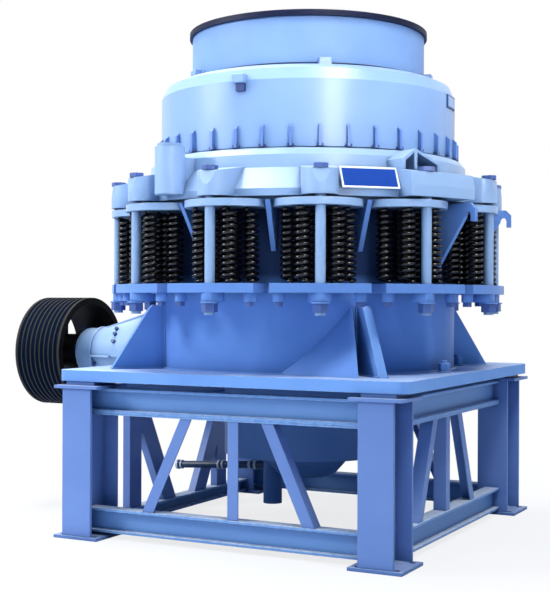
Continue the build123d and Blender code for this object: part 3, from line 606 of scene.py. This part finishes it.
# Latch and tally plate on the cap: a welded latch block with its dark tongue
# below, and a small bare plate in a dark frame on the cap's right.
latch_angle = -88.5
tally_angle = 5.75
tally_height = 2.0125
latch_block = bar("cap_latch", (0.050, 0.058, 0.040), (cap_radius + 0.010, 0, 2.050), edge=0.003)
latch_tongue = bar("latch_tongue", (0.034, 0.040, 0.035), (cap_radius + 0.004, 0.004, 2.0135), edge=0.002)
tally_frame = bar("tally_frame", (0.009, 0.136, 0.062), (cap_radius - 0.001, 0, tally_height), edge=0.0015)
tally_field = bar("tally_field", (0.0105, 0.120, 0.047), (cap_radius, 0, tally_height), edge=0.001)
for piece, turn, finish in (
        (latch_block, latch_angle, cap_blue), (latch_tongue, latch_angle, pad_navy),
        (tally_frame, tally_angle, pad_navy), (tally_field, tally_angle, cap_blue)):
    piece.data.transform(Matrix.Rotation(math.radians(turn), 4, "Z"))
    fixed(piece, finish, "release")

# Feed hopper and its rim: a rolled steel cylinder with a dark rim ring on its
# edge, and a dark ring at its foot that paints the shadow in the gap under the
# cap's lip.
hopper_blue = coated(
    "hopper_blue_enamel", paint=(0.19, 0.325, 0.62), thin=(0.225, 0.37, 0.66),
    edge_wear_and_highlight_color=(0.50, 0.62, 0.88), gloss=0.42, dust_and_highlight=0.25, wear_and_highlight=0.3, corner_shade=0.6, relief_strength=0.03, specular=0.15)
dress(hopper_blue, "hopper")
rim_dark = coated(
    "rim_dark_paint", paint=(0.004, 0.007, 0.030), thin=(0.007, 0.012, 0.045),
    edge_wear_and_highlight_color=(0.1, 0.13, 0.25), gloss=0.45, dust_and_highlight=0.05, wear_and_highlight=0.2, corner_shade=0.6, relief_strength=0.05, specular=0.15)
dress(rim_dark, "hopper_rim")
# Painted shadow: a dark ring along the hopper's foot.
foot_shadow_radius = 0.5645
foot_shadow_height = 2.1318
bpy.ops.mesh.primitive_torus_add(
    major_radius=foot_shadow_radius, minor_radius=0.0075, major_segments=120, minor_segments=8, location=(0, 0, foot_shadow_height))
bpy.context.active_object.scale = (1, 1, 1.3)
hopper_foot_shadow = settled("hopper_foot_shadow")
bpy.ops.object.shade_smooth()
fixed(hopper_foot_shadow, rim_dark, "release")

# Bowl, liner and head: manganese steel castings, grey, rough and bare, with a
# plain feed plate bolted on the head's top.
liner_grey = coated(
    "cast_liner_grey", paint=(0.10, 0.10, 0.105), thin=(0.14, 0.13, 0.12),
    edge_wear_and_highlight_color=(0.35, 0.35, 0.36), gloss=0.5, dust_and_highlight=0.5, wear_and_highlight=0.5, corner_shade=0.7, relief_strength=0.35)
dress(liner_grey, "bowl_liner", "crushing_head", "feed_plate")

# Hub, arms, drain and drain pipe: the frame's middle casting under the head,
# with a round drain below it and an oil pipe on screwed fittings.
hub_blue = coated(
    "hub_blue_enamel", paint=(0.07, 0.165, 0.40), thin=(0.09, 0.19, 0.44),
    edge_wear_and_highlight_color=(0.25, 0.35, 0.6), gloss=0.45, dust_and_highlight=0.1, wear_and_highlight=0.1, corner_shade=0.7, relief_strength=0.04, specular=0.25)
dress(hub_blue, "hub_and_arms", "drain_duct")
pipe_dark = coated(
    "pipe_dark", paint=(0.010, 0.035, 0.09), thin=(0.02, 0.05, 0.12),
    edge_wear_and_highlight_color=(0.4, 0.45, 0.55), gloss=0.35, dust_and_highlight=0.1, wear_and_highlight=0.4, corner_shade=0.6, relief_strength=0.03)
dress(pipe_dark, "drain_pipe")
fitting_steel = coated(
    "fitting_steel", paint=(0.50, 0.56, 0.66), thin=(0.58, 0.63, 0.72),
    edge_wear_and_highlight_color=(0.8, 0.82, 0.86), gloss=0.3, dust_and_highlight=0.0, wear_and_highlight=0.4, corner_shade=0.8, relief_strength=0.03)
pipe_inner_end = -0.186
pipe_inner_height = 0.269
pipe_lean = math.atan2(0.033, 0.558)
collars = []
for reach, length, radius in ((-0.735, 0.014, 0.025), (-0.712, 0.010, 0.023), (-0.490, 0.012, 0.024),
                              (-0.466, 0.010, 0.024), (-0.312, 0.012, 0.024), (-0.280, 0.012, 0.024)):
    bpy.ops.mesh.primitive_cylinder_add(
        vertices=20, radius=radius, depth=length,
        location=(reach, 0, pipe_inner_height + (reach - pipe_inner_end) * math.tan(pipe_lean)),
        rotation=(0, math.pi / 2 - pipe_lean, 0))
    collars.append(chamfered(settled("collar"), 0.0015, 50))
pipe_collars = one_piece("pipe_collars", collars)
fixed(pipe_collars, fitting_steel, "frame")

# Countershaft box: a cast housing with a rounded nose, a raised band behind it,
# a lip along each side, ribs on top, dark bolts and a plug below.
dress(ring_blue, "countershaft_box")
shaft_height = 0.808
flare_lean = math.atan(0.248)
rib_lean = math.radians(17)
bpy.ops.mesh.primitive_cylinder_add(
    vertices=72, radius=0.1345, depth=0.016, location=(-1.205, 0, shaft_height), rotation=(0, math.pi / 2, 0))
box_trim = [chamfered(settled("box_band"), 0.002, 50)]
bpy.ops.object.shade_smooth_by_angle(angle=math.radians(30))
for side in (-1, 1):
    box_trim.append(bar(
        "box_lip", (0.150, 0.022, 0.011), (-1.122, side * 0.150, 0.7905), (0, 0, side * flare_lean), 0.002))
    box_trim.append(bar("box_rib", (0.420, 0.013, 0.050), (-0.936, side * 0.060, 0.979), (0, -rib_lean, 0), 0.002))
box_trim = one_piece("box_trim", box_trim)
fixed(box_trim, ring_blue, "frame")
studs = []
for x, reach, angle in ((-1.042, 0.170, 47), (-1.036, 0.171, 35), (-1.032, 0.172, 21), (-1.19, 0.126, -28)):
    for side in (-1, 1):
        slope = math.radians(angle)
        out = Vector((0, side * math.cos(slope), math.sin(slope)))
        bpy.ops.mesh.primitive_cylinder_add(
            vertices=6, radius=0.011, depth=0.016, location=Vector((x, 0, shaft_height)) + out * (reach + 0.004),
            rotation=out.to_track_quat("Z", "Y").to_euler())
        studs.append(chamfered(settled("box_stud"), 0.0012, 40))
box_studs = one_piece("box_studs", studs)
fixed(box_studs, pad_navy, "frame")

# Pulley and shaft: a cast iron belt wheel with grooves for nine belts, painted
# black and rubbed bare on the crests, keyed to a turned steel shaft.
pulley_black = coated(
    "pulley_black", paint=(0.002, 0.0018, 0.002), thin=(0.004, 0.003, 0.003),
    edge_wear_and_highlight_color=(0.05, 0.05, 0.055), gloss=0.5, dust_and_highlight=0.0, wear_and_highlight=0.2, corner_shade=0.4, relief_strength=0.02, specular=0.06)
crest_reach = 0.2872
pulley_tree = pulley_black.node_tree
pulley_skin = pulley_tree.nodes["Principled BSDF"]
pulley_place = pulley_tree.nodes.new("ShaderNodeTexCoord")
from_shaft = pulley_tree.nodes.new("ShaderNodeVectorMath")
from_shaft.operation = "SUBTRACT"
from_shaft.inputs[1].default_value = (0, 0, shaft_height)
across_shaft = pulley_tree.nodes.new("ShaderNodeVectorMath")
across_shaft.operation = "MULTIPLY"
across_shaft.inputs[1].default_value = (0, 1, 1)
shaft_reach = pulley_tree.nodes.new("ShaderNodeVectorMath")
shaft_reach.operation = "LENGTH"
on_crest = pulley_tree.nodes.new("ShaderNodeMath")
on_crest.operation = "GREATER_THAN"
on_crest.inputs[1].default_value = crest_reach
polished = pulley_tree.nodes.new("ShaderNodeMix")
polished.data_type = "RGBA"
polished.inputs["B"].default_value = (0.030, 0.027, 0.024, 1)
pulley_layer = next(node for node in pulley_tree.nodes if node.type == "GROUP")
for start, end in (
        (pulley_place.outputs["Object"], from_shaft.inputs[0]), (from_shaft.outputs[0], across_shaft.inputs[0]),
        (across_shaft.outputs[0], shaft_reach.inputs[0]), (shaft_reach.outputs["Value"], on_crest.inputs[0]),
        (on_crest.outputs[0], polished.inputs["Factor"]), (pulley_layer.outputs["Color"], polished.inputs["A"]),
        (polished.outputs["Result"], pulley_skin.inputs["Base Color"])):
    pulley_tree.links.new(start, end)
dress(pulley_black, "pulley")
shaft_steel = coated(
    "turned_shaft_steel", paint=(0.42, 0.43, 0.45), thin=(0.5, 0.5, 0.52),
    edge_wear_and_highlight_color=(0.7, 0.7, 0.72), gloss=0.28, dust_and_highlight=0.05, wear_and_highlight=0.4, corner_shade=0.5, relief_strength=0.02)
shaft_steel.node_tree.nodes["Principled BSDF"].inputs["Metallic"].default_value = 1.0
dress(shaft_steel, "countershaft")
